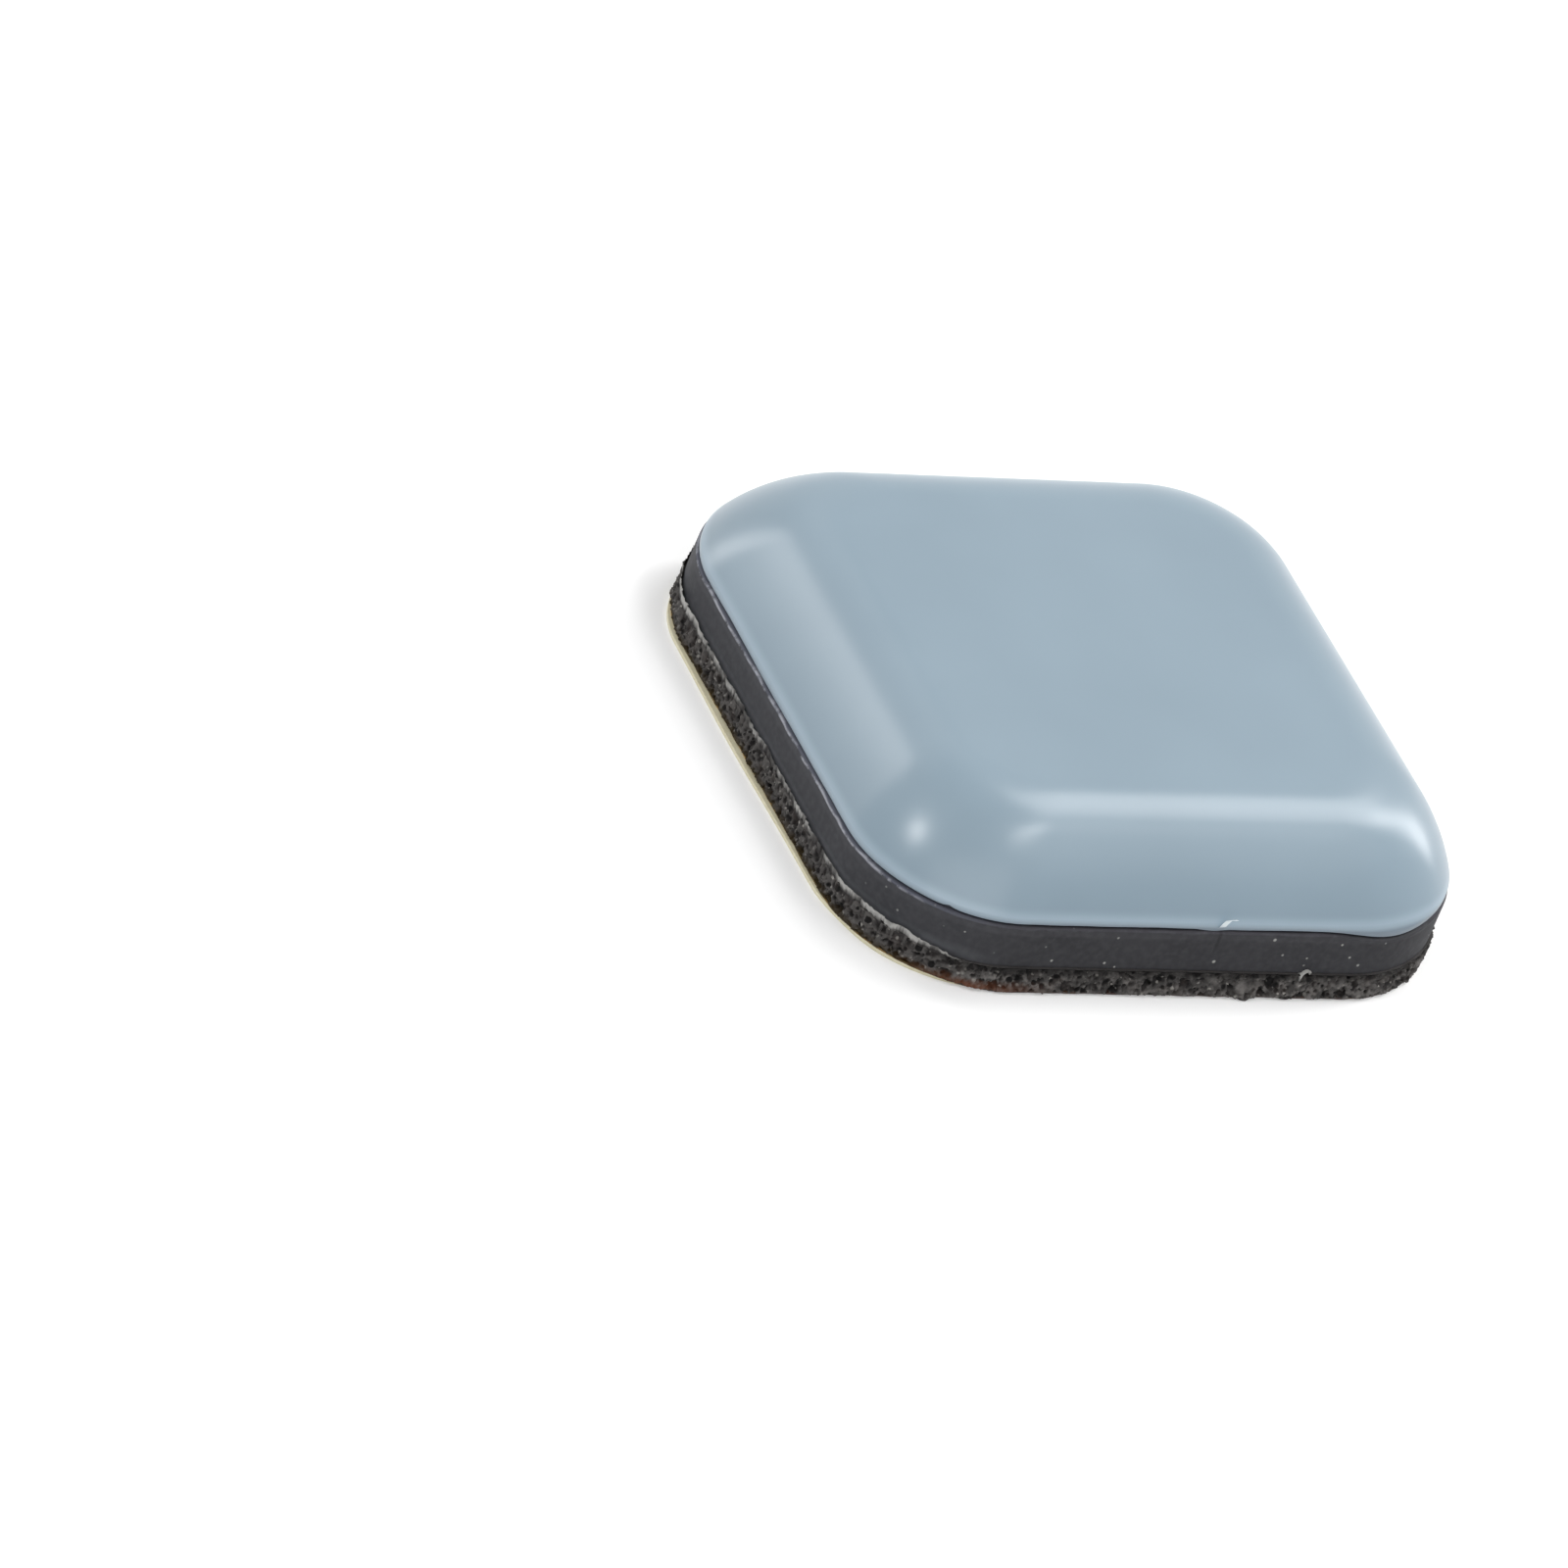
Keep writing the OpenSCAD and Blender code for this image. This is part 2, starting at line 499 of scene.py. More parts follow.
def makeGlideCap(data):
    cap = startBlock("glideCap", capHalf, rimHeight, rimHeight + data["lip"])
    roundOutline(cap, capCorner, data["cornerSteps"], data["sideCuts"])
    pick(cap, "FACE", isTop)
    followProfile(outerOutline(data, capOutline), spread=data["cornerSpread"])
    for width in data["plateauRings"]:
        bpy.ops.mesh.inset(thickness=width, depth=0)
    hollow = innerOutline(data, capOutline, data["wall"])
    pick(cap, "FACE", isBottom)
    bpy.ops.mesh.inset(thickness=capCorner - hollow[0][0], depth=0)
    followProfile(hollow, side=-1)
    bpy.ops.object.mode_set(mode="OBJECT")
    side, corner = capHalf - data["rimInset"], capHalf + data["rimCorner"]
    weigh(cap, "rim", lambda place: 1 - (place.z - rimHeight) / data["rimBand"]
          if nearOutline(place, side, corner) else 0)
    waves = cloudTexture("rimWaves", data["rimWaveLength"])
    displace(cap, waves, data["rimWave"], group="rim", direction="Z")
    for flaw in rimFlaws.values():
        pull(cap, flaw)
    growBurr(cap, data)
    toMetres(cap, data["smoothAngle"])
    return cap


def capPlastic(data):
    material, tree, shader, place = startMaterial("capPlastic")
    body = ramp(tree, noiseField(tree, place, *data["clouds"]), data["body"])
    # painted highlight: the lip is painted lighter in a band above the rim, darker at its very foot
    above = level(tree, alongAxis(tree, place, "Z"), rimHeight, rimHeight + data["rimHighlightHeight"])
    body = blendColours(tree, level(tree, above, 1, data["rimHighlightFull"]), body, ramp(tree, above, data["edge"]))
    burrStart, burrFull = data["burrOut"]
    burr = level(tree, alongAxis(tree, place, "Y"), -capHalf - burrStart, -capHalf - burrFull)
    body = blendColours(tree, burr, body, data["burr"])
    dust = sums(tree, "MULTIPLY", specks(tree, place, *data["dust"]), data["dustStrength"])
    body = blendColours(tree, dust, body, data["dustColour"])
    feed(tree, shader.inputs["Base Color"], body)
    shader.inputs["Roughness"].default_value = data["roughness"]
    shader.inputs["IOR"].default_value = data["ior"]
    roughen(tree, shader, noiseField(tree, place, *data["grain"]), *data["bump"])
    return material


cap = makeGlideCap(capSet)
dress(cap, capPlastic(capSet["finish"]), "glider")
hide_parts("glide_cap")
print("glide cap done, %d faces" % len(cap.data.polygons))


# Rubber core: the smooth band below the rim, its ledge and groove, and the dome that fills the cap

coreSet = {
    "proud": 0.06,           # how far the band stands out from the rim
    "grooveHeight": 0.08,
    "grooveDepth": 0.14,
    "ledgeRadius": 0.1,
    "ledgeSteps": 6,
    "wallSteps": 14,
    "cornerSteps": 56,
    "sideCuts": [96],
    "ledgeWave": 0.06,
    "ledgeWaveLength": 1.3,
    "ledgeSlack": 0.01,      # the waves start this far above the foot of the ledge
    "filmDepth": 1.08,       # cap wall and bond film
    "seamAt": 0.78,          # crack in the front of the band, below the burr
    "seamLength": 0.7,
    "seamWidth": 0.04,
    "seamDepth": 0.015,
    "smoothAngle": 50,
    "finish": {              # heights are measured from the rim down, places in millimetres
        "clouds": (0.8, 3),
        "cloudLevels": (0.3, 0.7),
        "body": (paint(48, 48, 51), paint(56, 56, 59)),
        "mottle": (5, 3),
        "mottleLevels": (0.4, 0.7, 0, 0.6),
        "mottleColour": paint(64, 64, 67),
        "leftSide": (-6, -9),
        # painted light: the left side of the band is painted a little lighter, where the light falls
        "leftLightStrength": 0.025,
        "leftLightColour": paint(160, 166, 176),
        "paintedLowLight": (0.5, 0.2, 0.14),           # painted light: lighter low on the left, over the shade above the coat; heights above the foam, strength
        "lowLightColour": paint(170, 174, 180),
        # painted highlight: a faint pale strip on the band below the ledge
        "shelfHighlight": (0.27, 0.06, 0.16),
        "shelfHighlightStrength": 0.03,
        "shelfHighlightColour": paint(164, 164, 172),
        "groove": (0.17, 0.13),
        "grooveLightColours": (paint(66, 65, 70), paint(88, 90, 100)),    # painted light: lighter than the rubber just under the rim, more on the left, where the light falls; front, left
        "lineBreaks": (1.1, 5, 0.7),
        "lineBreakLevels": (0.44, 0.56),
        "wander": (0.7, 3),
        "wanderLevels": (0.3, 0.7, -0.04, 0.04),
        "line": (0.14, 0.012, 0.05),         # painted highlight: pale broken line where the left of the ledge catches the light
        "lineSide": (-8.4, -9.8, 0.05, 1),
        "lineHighlightColour": paint(158, 160, 168),
        # painted shade: a dark line down the seam below the burr
        "crack": (0.02, 0.09),
        "crackFront": (-9.9, -10),
        "crackHeights": (0.95, 0.4, 0.4),    # where it begins and is full, strength
        "crackShadeColour": paint(30, 30, 31),
        "dust": (2.3, 0.07, 0.8),
        "dustStrength": 0.85,
        "dustColour": paint(176, 176, 172),
        "roughness": (0.6, 0.72),
        "specular": 0.12,
        "grain": (14, 3),
        "bump": (0.3, 0.006),
    },
}


def cutSeam(core, data, half, ledge):    # an upright row of edges is bevelled, its middle pushed in
    def onFront(vertex):
        return vertex.co.y < -half + hair and ledge - data["seamLength"] < vertex.co.z < ledge + hair
    row = min((vertex.co.x for vertex in core.data.vertices if onFront(vertex)),
              key=lambda x: abs(x - data["seamAt"]))
    pick(core, "EDGE", lambda edge: all(onFront(end) and abs(end.co.x - row) < hair for end in edge.verts))
    bpy.ops.mesh.bevel(offset=data["seamWidth"], segments=2, affect="EDGES")
    middle = data["seamWidth"] / 4
    pick(core, "VERT", lambda vertex: onFront(vertex) and abs(vertex.co.x - row) < middle)
    bpy.ops.transform.translate(value=(0, data["seamDepth"], 0))
    bpy.ops.object.mode_set(mode="OBJECT")


def makeRubberCore(data):
    half = capHalf + data["proud"]
    ledge = rimHeight - data["grooveHeight"] - data["ledgeRadius"]
    firstStep = (ledge - rubberLow.z) / data["wallSteps"]
    core = startBlock("rubberCore", half, rubberLow.z, rubberLow.z + firstStep)
    roundOutline(core, capCorner + data["proud"], data["cornerSteps"], data["sideCuts"])
    pick(core, "FACE", isTop)
    raiseTop(ledge - rubberLow.z - firstStep, data["wallSteps"] - 1)
    centre = (half - data["ledgeRadius"], ledge)
    followProfile(arc(centre, data["ledgeRadius"], 90, 0, data["ledgeSteps"]))
    flat = half - data["ledgeRadius"] - (capHalf - data["grooveDepth"])
    bpy.ops.mesh.inset(thickness=flat, depth=0)
    raiseTop(data["grooveHeight"])
    dome = innerOutline(capSet, capOutline, data["filmDepth"])
    bpy.ops.mesh.inset(thickness=capCorner - data["grooveDepth"] - dome[0][0], depth=0)
    followProfile(dome)
    bpy.ops.object.mode_set(mode="OBJECT")
    start = ledge + data["ledgeSlack"]
    end = rimHeight - data["grooveHeight"] + data["ledgeSlack"]
    weigh(core, "ledge", lambda place: 1 if start < place.z < end else 0)
    breaks = cloudTexture("ledgeBreaks", data["ledgeWaveLength"])
    displace(core, breaks, data["ledgeWave"], group="ledge")
    cutSeam(core, data, half, ledge)
    pull(core, rimFlaws["dip"])
    toMetres(core, data["smoothAngle"])
    return core


def bandRubber(data):
    material, tree, shader, place = startMaterial("bandRubber")
    across = alongAxis(tree, place, "X")
    height = alongAxis(tree, place, "Z")
    clouds = noiseField(tree, place, *data["clouds"])
    body = ramp(tree, clouds, list(zip(data["cloudLevels"], data["body"])))
    mottle = level(tree, noiseField(tree, place, *data["mottle"]), *data["mottleLevels"])
    body = blendColours(tree, mottle, body, data["mottleColour"])
    leftSide = level(tree, across, *data["leftSide"])
    # painted light: the left side of the band is painted a little lighter, where the light falls
    leftLight = sums(tree, "MULTIPLY", leftSide, data["leftLightStrength"])
    body = blendColours(tree, leftLight, body, data["leftLightColour"])
    # painted light: the left of the band is painted lighter towards the foam, over the shade there
    lowLightTop, lowLightFull, lowLightStrength = data["paintedLowLight"]
    paintedLowLight = level(tree, height, rubberLow.z + lowLightTop, rubberLow.z + lowLightFull, 0, lowLightStrength)
    body = blendColours(tree, sums(tree, "MULTIPLY", paintedLowLight, leftSide), body, data["lowLightColour"])
    # painted highlight: a faint pale strip on the band below the ledge
    shelfDrop, shelfInner, shelfOuter = data["shelfHighlight"]
    shelfHighlight = strip(tree, height, rimHeight - shelfDrop, shelfInner, shelfOuter)
    shelfHighlight = sums(tree, "MULTIPLY", shelfHighlight, data["shelfHighlightStrength"])
    body = blendColours(tree, shelfHighlight, body, data["shelfHighlightColour"])
    # painted light: the band just under the rim is painted lighter, more on the left
    grooveStart, grooveFull = data["groove"]
    groove = level(tree, height, rimHeight - grooveStart, rimHeight - grooveFull)
    body = blendColours(tree, groove, body, blendColours(tree, leftSide, *data["grooveLightColours"]))
    # painted highlight: a pale broken line where the left of the ledge catches the light
    lineBreaks = level(tree, noiseField(tree, place, *data["lineBreaks"]), *data["lineBreakLevels"])
    wander = level(tree, noiseField(tree, place, *data["wander"]), *data["wanderLevels"])
    lineDrop, lineInner, lineOuter = data["line"]
    line = strip(tree, sums(tree, "ADD", height, wander), rimHeight - lineDrop, lineInner, lineOuter)
    ledgeHighlight = sums(tree, "MULTIPLY", line, lineBreaks)
    ledgeHighlight = sums(tree, "MULTIPLY", ledgeHighlight, level(tree, across, *data["lineSide"]))
    body = blendColours(tree, ledgeHighlight, body, data["lineHighlightColour"])
    # painted shade: a dark line down the seam below the burr
    crack = strip(tree, across, coreSet["seamAt"], *data["crack"])
    front = level(tree, alongAxis(tree, place, "Y"), *data["crackFront"])
    crackStart, crackFull, crackStrength = data["crackHeights"]
    upper = level(tree, height, rimHeight - crackStart, rimHeight - crackFull, 0, crackStrength)
    crack = sums(tree, "MULTIPLY", sums(tree, "MULTIPLY", crack, front), upper)
    body = blendColours(tree, crack, body, data["crackShadeColour"])
    dust = sums(tree, "MULTIPLY", specks(tree, place, *data["dust"]), data["dustStrength"])
    body = blendColours(tree, dust, body, data["dustColour"])
    feed(tree, shader.inputs["Base Color"], body)
    feed(tree, shader.inputs["Roughness"], level(tree, clouds, *data["cloudLevels"], *data["roughness"]))
    shader.inputs["Specular IOR Level"].default_value = data["specular"]
    roughen(tree, shader, noiseField(tree, place, *data["grain"]), *data["bump"])
    return material


core = makeRubberCore(coreSet)
dress(core, bandRubber(coreSet["finish"]), "glider")
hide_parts("rubber_core")
print("rubber core done, %d faces" % len(core.data.polygons))


# Upper adhesive: thin torn coat between rubber and foam

upperSet = {
    "proud": 0.1,
    "cornerSteps": 140,
    "sideCuts": [22, 9],
    "rimWidth": 0.3,         # the torn rim is kept apart from the flat of the coat
    "tear": 0.2,
    "tearLength": 0.6,
    "tearMiddle": 0.25,      # the texture's value that stays in place
    "fray": 0.14,
    "frayLength": 0.12,
    "frayMiddle": 0.4,
    "curl": 0.12,
    "curlLength": 0.8,
    "curlMiddle": 0.5,
    "calm": 0.3,             # how much of the tearing is left away from the left side
    "lift": {"from": -7, "full": -9, "rise": 0.33},      # the torn edge stands up along the left side
    "flaps": [               # two bits torn over the foam, one stretch peeled at the back left corner
        {"near": (4.14, -10.12, 0.93), "by": (0.05, -0.14, 0.24), "reach": 0.18},
        {"near": (4.08, -10.1, 0.9), "by": (-0.03, -0.12, -0.16), "reach": 0.15},
        {"near": (-9.95, 6.2, 1.2), "by": (-0.05, 0.02, 0.06), "reach": 1.8},
    ],
    "smoothAngle": 60,
    "finish": {
        "tornLevels": (0.15, 0.6),
        "clouds": (1.4, 3),
        "cloudLevels": (0.42, 0.62, 0.15, 1),
        "leftSide": (-5, -8),
        "peeled": (3.6, 5),          # towards the back it is torn all along
        "flake": (0.12, 0.2),
        "flakeFront": (-9.95, -10.03),
        "body": (paint(52, 50, 50), paint(172, 171, 168)),       # whole, torn
        "roughness": 0.65,
        "specular": 0.1,
        "grain": (12, 2),
        "bump": (0.4, 0.01),
    },
}


def makeUpperAdhesive(data):
    middle = (upperLow.z + upperHigh.z) / 2
    coat = startBlock("upperAdhesive", capHalf + data["proud"], upperLow.z, middle)
    roundOutline(coat, capCorner + data["proud"], data["cornerSteps"], data["sideCuts"])
    pick(coat, "FACE", isTop)
    raiseTop(upperHigh.z - middle)
    for side in (isTop, isBottom):
        pick(coat, "FACE", side)
        bpy.ops.mesh.inset(thickness=data["rimWidth"], depth=0)
    bpy.ops.object.mode_set(mode="OBJECT")
    uncut = [vertex.co.copy() for vertex in coat.data.vertices]
    facing = [vertex.normal.copy() for vertex in coat.data.vertices]
    halfway = (upperHigh.z - upperLow.z) / 4
    torn = {vertex.index for vertex in coat.data.vertices if abs(vertex.co.z - middle) < halfway}
    tears = coat.vertex_groups.new(name="edge")
    for index in torn:
        tears.add([index], 1 if uncut[index].x < data["lift"]["from"] else data["calm"], "REPLACE")
    tear = cloudTexture("coatTears", data["tearLength"])
    displace(coat, tear, data["tear"], data["tearMiddle"], "edge")
    fray = cloudTexture("coatFray", data["frayLength"])
    displace(coat, fray, data["fray"], data["frayMiddle"], "edge")
    curl = cloudTexture("coatCurl", data["curlLength"])
    displace(coat, curl, data["curl"], data["curlMiddle"], "edge", "Z")
    standUp(coat, torn, data["lift"])
    for flap in data["flaps"]:
        pull(coat, flap)
    markDepth(coat, "tearDepth", uncut, facing, -data["tear"] / 2)
    toMetres(coat, data["smoothAngle"])
    return coat


def tornAdhesive(data):
    material, tree, shader, place = startMaterial("tornAdhesive")
    across = alongAxis(tree, place, "X")
    along = alongAxis(tree, place, "Y")
    torn = level(tree, markedDepth(tree, "tearDepth"), *data["tornLevels"])
    clouds = level(tree, noiseField(tree, place, *data["clouds"]), *data["cloudLevels"])
    patches = sums(tree, "MAXIMUM", clouds, level(tree, along, *data["peeled"]))
    leftSide = level(tree, across, *data["leftSide"])
    pale = sums(tree, "MULTIPLY", sums(tree, "MULTIPLY", torn, patches), leftSide)
    flake = strip(tree, across, upperSet["flaps"][0]["near"][0], *data["flake"])
    flake = sums(tree, "MULTIPLY", flake, level(tree, along, *data["flakeFront"]))
    body = blendColours(tree, sums(tree, "MAXIMUM", pale, flake), *data["body"])
    feed(tree, shader.inputs["Base Color"], body)
    shader.inputs["Roughness"].default_value = data["roughness"]
    shader.inputs["Specular IOR Level"].default_value = data["specular"]
    roughen(tree, shader, noiseField(tree, place, *data["grain"]), *data["bump"])
    return material


upper = makeUpperAdhesive(upperSet)
dress(upper, tornAdhesive(upperSet["finish"]), "glider")
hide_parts("upper_adhesive")
print("upper adhesive done, %d faces" % len(upper.data.polygons))


# Foam pad: black open-cell foam with a cut, porous edge

foamSet = {
    "proud": 0.14,
    "cornerSteps": 200,
    "sideCuts": [19, 16],
    "layers": 24,
    "rimWidth": 0.4,         # the ragged rim is kept apart from the flat of the foam
    "rimInset": 0.2,
    "rimCorner": 1.6,        # at the corners the rim starts this far beyond the half side
    "edgeShare": 0.4,        # how much of the raggedness the cut's own edges have
    "cutWave": 0.12,         # unevenness of the knife's cut
    "cutWaveLength": 0.9,
    "cutMiddle": 0.55,
    "largeCell": 0.4,
    "smallCell": 0.19,
    "largeDepth": 0.3,
    "smallDepth": 0.2,
    "cellWeights": (-1, 1),
    "cellStrength": 1.6,
    "cellMiddle": 0.12,
    "grain": 0.11,
    "grainLength": 0.09,
    "grainMiddle": 0.5,
    "deepest": 0.2,          # depth at which a pore is painted black, as painted shade
    "brim": 0.12,            # height of the fringe along the top
    "lift": {"from": -7, "full": -9, "rise": 0.15},      # the fringe stands up along the left side
    "sag": {"left": (-8, -6), "front": (-7.6, -9.9), "top": 0.4, "by": (0, -0.05, -0.1)},
    "crumbs": [{"near": (2.3, -10.14, 0.18), "by": (0, -0.12, -0.07), "reach": 0.45},
               {"near": (3.75, -10.14, 0.18), "by": (0, -0.08, -0.06), "reach": 0.38}],
    "smoothAngle": 70,
    "finish": {
        # painted shade: darker the deeper the pore lies
        "poreShade": [(0, paint(108, 105, 103)), (0.3, paint(54, 51, 50)), (0.6, paint(13, 12, 12))],
        "leftSide": (-7, -9),
        "shade": (3.4, 3),
        "shadeLevels": (0.4, 0.62, 0.7, 0),
        "shadeLeft": 0.45,           # at least this much shade on the left
        "shadeColour": paint(30, 29, 29),
        "grains": (5, 0.09, 0.6),
        "grainColour": paint(160, 157, 152),
        # painted shade: near-black dots that stand for holes
        "holes": (3.4, 0.16, 0.8),
        "holeStrength": 2.6,
        "holeShadeColour": paint(10, 9, 9),
        "tint": (2.1, 2),
        "tintLevels": (0.5, 0.7, 0, 0.25),
        "tintColour": paint(86, 78, 74),
        "shadow": (0.34, 0.05, 0.75),        # below the rubber: depths where it begins and is full, strength
        "shadowColour": paint(20, 19, 19),
        "bottomTintSide": (-4, -7),
        "bottomTint": (0.26, 0.85),               # warmer towards the bottom: height, strength
        "bottomTintColours": (paint(104, 62, 40), paint(54, 42, 16)),     # front, left
        "roughness": 0.75,
        "specular": 0.15,
    },
}


def makeFoamPad(data):
    height = foamHigh.z - foamLow.z
    layer = height / data["layers"]
    half = capHalf + data["proud"]
    foam = startBlock("foamPad", half, foamLow.z, foamLow.z + layer)
    roundOutline(foam, capCorner + data["proud"], data["cornerSteps"], data["sideCuts"])
    pick(foam, "FACE", isTop)
    raiseTop(height - layer, data["layers"] - 1)
    for side in (isTop, isBottom):
        pick(foam, "FACE", side)
        bpy.ops.mesh.inset(thickness=data["rimWidth"], depth=0)
    bpy.ops.object.mode_set(mode="OBJECT")
    uncut = [vertex.co.copy() for vertex in foam.data.vertices]
    facing = [vertex.normal.copy() for vertex in foam.data.vertices]
    rim = half - data["rimInset"]
    corner = rim + data["rimCorner"]

    def raggedness(place):
        if not nearOutline(place, rim, corner):
            return 0
        return data["edgeShare"] if min(place.z - foamLow.z, foamHigh.z - place.z) < layer / 2 else 1

    weigh(foam, "wall", raggedness)
    waves = cloudTexture("cutWaves", data["cutWaveLength"])
    displace(foam, waves, data["cutWave"], data["cutMiddle"], "wall")
    for size in ("large", "small"):
        cells = cellTexture(size + "Cells", data[size + "Cell"], data["cellWeights"], data["cellStrength"])
        displace(foam, cells, -data[size + "Depth"], data["cellMiddle"], "wall")
    grain = cloudTexture("cellGrain", data["grainLength"])
    displace(foam, grain, data["grain"], data["grainMiddle"], "wall")
    markDepth(foam, "poreDepth", uncut, facing, data["deepest"])
    fringeLow = foamHigh.z - data["brim"]
    fringe = {index for index, place in enumerate(uncut) if place.z > fringeLow and raggedness(place)}
    standUp(foam, fringe, data["lift"])
    droop(foam, data["sag"])
    for crumb in data["crumbs"]:
        pull(foam, crumb)
    toMetres(foam, data["smoothAngle"])
    return foam


def cutFoam(data):
    material, tree, shader, place = startMaterial("cutFoam")
    across = alongAxis(tree, place, "X")
    height = alongAxis(tree, place, "Z")
    leftSide = level(tree, across, *data["leftSide"])
    # painted shade: darker the deeper the pore lies
    body = ramp(tree, markedDepth(tree, "poreDepth"), data["poreShade"])
    shade = level(tree, noiseField(tree, place, *data["shade"]), *data["shadeLevels"])
    shade = sums(tree, "MAXIMUM", shade, sums(tree, "MULTIPLY", leftSide, data["shadeLeft"]))
    body = blendColours(tree, shade, body, data["shadeColour"])
    body = blendColours(tree, specks(tree, place, *data["grains"]), body, data["grainColour"])
    # painted shade: near-black dots that stand for holes
    holes = sums(tree, "MULTIPLY", specks(tree, place, *data["holes"]), data["holeStrength"])
    body = blendColours(tree, sums(tree, "MINIMUM", holes, 1), body, data["holeShadeColour"])
    tint = level(tree, noiseField(tree, place, *data["tint"]), *data["tintLevels"])
    body = blendColours(tree, tint, body, data["tintColour"])
    shadowStart, shadowFull, shadowStrength = data["shadow"]
    shadow = level(tree, height, foamHigh.z - shadowStart, foamHigh.z - shadowFull, 0, shadowStrength)
    shadow = sums(tree, "MULTIPLY", shadow, sums(tree, "SUBTRACT", 1, leftSide))
    body = blendColours(tree, shadow, body, data["shadowColour"])
    bottomTintHeight, bottomTintStrength = data["bottomTint"]
    bottomTint = level(tree, height, foamLow.z + bottomTintHeight, foamLow.z, 0, bottomTintStrength)
    bottomTint = sums(tree, "MULTIPLY", bottomTint, level(tree, across, *data["bottomTintSide"]))
    body = blendColours(tree, bottomTint, body, blendColours(tree, leftSide, *data["bottomTintColours"]))
    feed(tree, shader.inputs["Base Color"], body)
    shader.inputs["Roughness"].default_value = data["roughness"]
    shader.inputs["Specular IOR Level"].default_value = data["specular"]
    return material


foam = makeFoamPad(foamSet)
dress(foam, cutFoam(foamSet["finish"]), "tape")
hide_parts("foam_pad")
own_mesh(foam)
print("foam pad done, %d faces" % len(foam.data.polygons))


# Lower adhesive: amber coat that sticks to a furniture leg

lowerSet = {
    "proud": 0.1,
    "cornerSteps": 100,
    "sideCuts": [13, 9],
    "rimWidth": 0.3,         # the uneven rim is kept apart from the flat of the coat
    "rimInset": 0.2,
    "rimCorner": 1.6,
    "ooze": 0.07,
    "oozeLength": 0.6,
    "sag": {"left": (-8, -6), "front": (-7.6, -9.9), "top": 0.4, "by": (0, -0.05, -0.08)},
    "smoothAngle": 60,
    "finish": {
        "clouds": (0.9, 3),
        "body": [(0.36, paint(44, 36, 14)), (0.5, paint(84, 66, 24)), (0.64, paint(150, 116, 56))],
        # painted shade: the front of the coat is painted darker, where it lies in shade
        "front": (-9, -9.8, 0, 0.9),
        "frontShadeColour": paint(48, 28, 24),
        "roughness": 0.25,
        "grain": (5, 2),
        "bump": (0.3, 0.01),
    },
}


def makeLowerAdhesive(data):
    coat = startBlock("lowerAdhesive", capHalf + data["proud"], lowerLow.z, lowerHigh.z)
    roundOutline(coat, capCorner + data["proud"], data["cornerSteps"], data["sideCuts"])
    for side in (isTop, isBottom):
        pick(coat, "FACE", side)
        bpy.ops.mesh.inset(thickness=data["rimWidth"], depth=0)
    bpy.ops.object.mode_set(mode="OBJECT")
    low, high = lowerLow.z, lowerHigh.z
    rim = capHalf + data["proud"] - data["rimInset"]
    corner = rim + data["rimCorner"]
    weigh(coat, "edge", lambda place: 1 if nearOutline(place, rim, corner) else 0)
    displace(coat, cloudTexture("coatOoze", data["oozeLength"]), data["ooze"], group="edge")
    bpy.ops.object.mode_set(mode="EDIT")
    for vertex in bmesh.from_edit_mesh(coat.data).verts:     # the rim stays within the coat's own layer
        vertex.co.z = min(max(vertex.co.z, low), high)
    bpy.ops.object.mode_set(mode="OBJECT")
    droop(coat, data["sag"])
    toMetres(coat, data["smoothAngle"])
    return coat


def amberAdhesive(data):
    material, tree, shader, place = startMaterial("amberAdhesive")
    body = ramp(tree, noiseField(tree, place, *data["clouds"]), data["body"])
    # painted shade: the front of the coat is painted darker, where it lies in shade
    front = level(tree, alongAxis(tree, place, "Y"), *data["front"])
    body = blendColours(tree, front, body, data["frontShadeColour"])
    feed(tree, shader.inputs["Base Color"], body)
    shader.inputs["Roughness"].default_value = data["roughness"]
    roughen(tree, shader, noiseField(tree, place, *data["grain"]), *data["bump"])
    return material


lower = makeLowerAdhesive(lowerSet)
dress(lower, amberAdhesive(lowerSet["finish"]), "tape")
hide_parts("lower_adhesive")
print("lower adhesive done, %d faces" % len(lower.data.polygons))


# Release liner: cream paper, cut a little larger than the pad

linerSet = {
    "proud": 0.06,
    "skew": 0.2,             # degrees, as it was laid on the tape
    "cornerSteps": 60,
    "sideCuts": [90],
    "edgeWidth": 0.015,      # narrow border that keeps the edge crisp
    "rimWidth": 0.3,
    "cuts": [                # the cut wavers on the left side
        {"near": (-10.22, 1, 0.06), "by": (-0.07, 0, 0), "reach": 5},
        {"near": (-9.3, 8.9, 0.06), "by": (0.09, -0.08, 0), "reach": 3.5},
        {"near": (-9.9, -6.9, 0.06), "by": (0.1, 0, 0), "reach": 1.8},
    ],
    "smoothAngle": 40,
    "finish": {
        "clouds": (3.5, 4, 0.6),
        "body": [(0.3, paint(224, 217, 184)), (0.7, paint(236, 230, 202))],
        "roughness": 0.5,
        "bump": (0.3, 0.01),
    },
}


def makeReleaseLiner(data):
    shift = ((linerLow.x + linerHigh.x) / 2, (linerLow.y + linerHigh.y) / 2)
    half = capHalf + data["proud"]
    liner = startBlock("releaseLiner", half, linerLow.z, linerHigh.z, shift, data["skew"])
    roundOutline(liner, capCorner + data["proud"], data["cornerSteps"], data["sideCuts"])
    for side in (isTop, isBottom):
        pick(liner, "FACE", side)
        bpy.ops.mesh.inset(thickness=data["edgeWidth"], depth=0)
        bpy.ops.mesh.inset(thickness=data["rimWidth"], depth=0)
    for cut in data["cuts"]:
        pull(liner, cut)
    toMetres(liner, data["smoothAngle"])
    return liner


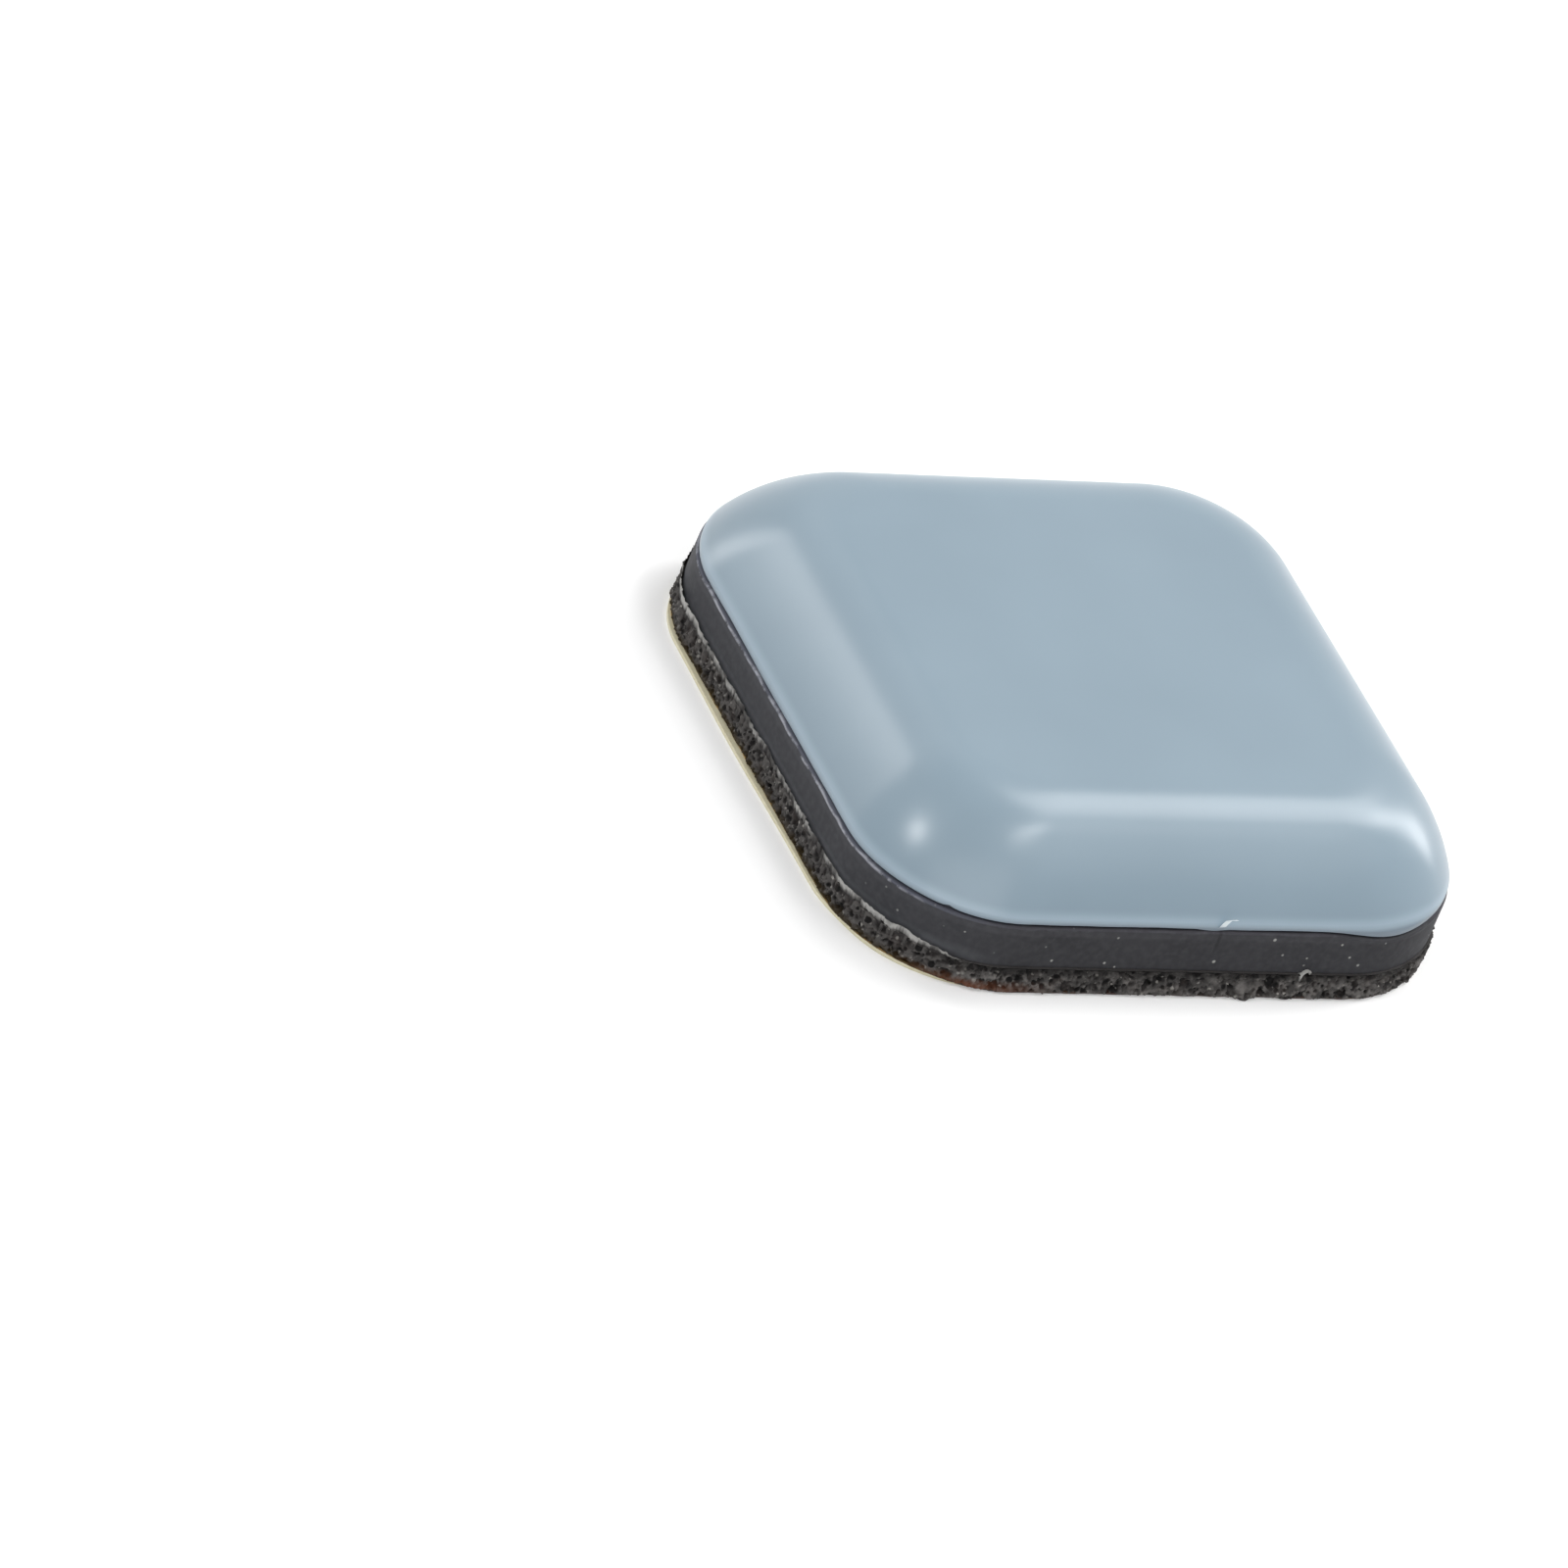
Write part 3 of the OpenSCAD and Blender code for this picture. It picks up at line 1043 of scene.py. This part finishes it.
def linerPaper(data):
    material, tree, shader, place = startMaterial("linerPaper")
    clouds = noiseField(tree, place, *data["clouds"])
    feed(tree, shader.inputs["Base Color"], ramp(tree, clouds, data["body"]))
    shader.inputs["Roughness"].default_value = data["roughness"]
    roughen(tree, shader, clouds, *data["bump"])
    return material


liner = makeReleaseLiner(linerSet)
dress(liner, linerPaper(linerSet["finish"]), "liner")
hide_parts("release_liner")
print("release liner done, %d faces" % len(liner.data.polygons))


# Bond film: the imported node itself, with its own finish

filmSet = {
    "clouds": (1.5, 3),
    "body": [(0.3, paint(176, 150, 92)), (0.7, paint(206, 186, 128))],
    "roughness": 0.45,
}


def bondFilm(data):
    material, tree, shader, place = startMaterial("bondFilm")
    clouds = noiseField(tree, place, *data["clouds"])
    feed(tree, shader.inputs["Base Color"], ramp(tree, clouds, data["body"]))
    shader.inputs["Roughness"].default_value = data["roughness"]
    return material


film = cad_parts["cap_bond_film"]
film.data.materials.clear()
film.data.materials.append(bondFilm(filmSet))
print("bond film dressed")


# Floor, world and soft lights

stageSet = {
    "floorSize": 4.0,        # metres
    "floorColour": (0.8, 0.8, 0.8, 1),
    "floorRoughness": 0.9,
    "floorLift": 0.24,       # brings the floor to white in the picture, and keeps the shadow
    "contact": 0.05,         # nearer than these millimetres the floor lets light through to what lies on it
    "worldLight": 0.17,
    "lightDistance": 0.5,    # metres
}

lightSet = [                 # direction from the slider, sides in metres, radiance
    {"name": "topPanel", "from": (0.537, 0.201, 0.819), "size": (0.215, 0.30), "radiance": 5.3},
    {"name": "rightPanel", "from": (0.88, 0.20, 0.40), "size": (0.10, 0.35), "radiance": 7.5},
    {"name": "leftPanel", "from": (-0.51, 0.79, 0.31), "size": (0.18, 0.40), "radiance": 2.6},
    {"name": "leftStrip", "from": (-0.51, 0.79, 0.28), "size": (0.07, 0.36), "radiance": 3.2},
    {"name": "sideLamp", "from": (-0.72, -0.02, 0.69), "size": (0.07, 0.07), "radiance": 32.0},
    {"name": "frontLamp", "from": (0.25, -0.355, 0.90), "size": (0.18, 0.06), "radiance": 12.0},
    {"name": "frontFill", "from": (-0.36, -0.80, 0.48), "size": (0.5, 0.4), "radiance": 1.45},
    {"name": "frontPanel", "from": (0.479, -0.42, 0.77), "size": (0.30, 0.30), "radiance": 0.9},
    {"name": "backFill", "from": (-0.10, 0.69, 0.70), "size": (0.40, 0.22), "radiance": 0.7},
]


def seenDirectly(tree):              # 1 for what the camera sees, also in gloss and through glass
    path = tree.nodes.new("ShaderNodeLightPath")
    seen = sums(tree, "MAXIMUM", path.outputs["Is Camera Ray"], path.outputs["Is Glossy Ray"])
    return sums(tree, "MAXIMUM", seen, path.outputs["Is Transmission Ray"])


def layFloor(data):
    bpy.ops.object.select_all(action="DESELECT")
    bpy.ops.mesh.primitive_plane_add(size=data["floorSize"], location=(0, 0, 0))
    floor = bpy.context.object
    floor.name = "floor"
    material = bpy.data.materials.new("floorPaint")
    material.use_nodes = True
    tree = material.node_tree
    shader = tree.nodes["Principled BSDF"]
    shader.inputs["Base Color"].default_value = data["floorColour"]
    shader.inputs["Roughness"].default_value = data["floorRoughness"]
    shader.inputs["Specular IOR Level"].default_value = 0
    seen = seenDirectly(tree)
    shader.inputs["Emission Color"].default_value = (1, 1, 1, 1)
    feed(tree, shader.inputs["Emission Strength"], sums(tree, "MULTIPLY", seen, data["floorLift"]))
    below = tree.nodes.new("ShaderNodeNewGeometry")
    path = tree.nodes.new("ShaderNodeLightPath")
    touching = sums(tree, "LESS_THAN", path.outputs["Ray Length"], data["contact"] * mm)
    clear = tree.nodes.new("ShaderNodeBsdfTransparent")
    either = tree.nodes.new("ShaderNodeMixShader")
    feed(tree, either.inputs[0], sums(tree, "MAXIMUM", below.outputs["Backfacing"], touching))
    tree.links.new(shader.outputs[0], either.inputs[1])
    tree.links.new(clear.outputs[0], either.inputs[2])
    tree.links.new(either.outputs[0], tree.nodes["Material Output"].inputs["Surface"])
    floor.data.materials.append(material)


def lightWorld(data):
    world = bpy.data.worlds.new("studio")
    bpy.context.scene.world = world
    world.use_nodes = True
    tree = world.node_tree
    sky = tree.nodes["Background"]
    sky.inputs["Color"].default_value = (1, 1, 1, 1)
    seen = seenDirectly(tree)
    feed(tree, sky.inputs["Strength"], level(tree, seen, 0, 1, data["worldLight"], 1.0))


def hangLight(data, distance):
    lamp = bpy.data.lights.new(data["name"], "AREA")
    lamp.shape = "RECTANGLE"
    lamp.size, lamp.size_y = data["size"]
    lamp.energy = data["radiance"] * math.pi * lamp.size * lamp.size_y
    box = bpy.data.objects.new(data["name"], lamp)
    bpy.context.scene.collection.objects.link(box)
    direction = Vector(data["from"]).normalized()
    box.location = direction * distance
    box.rotation_euler = direction.to_track_quat("Z", "Y").to_euler()
    box.visible_camera = False


layFloor(stageSet)
lightWorld(stageSet)
for lightData in lightSet:
    hangLight(lightData, stageSet["lightDistance"])
bpy.context.scene.view_settings.view_transform = "Standard"
print("stage lit")
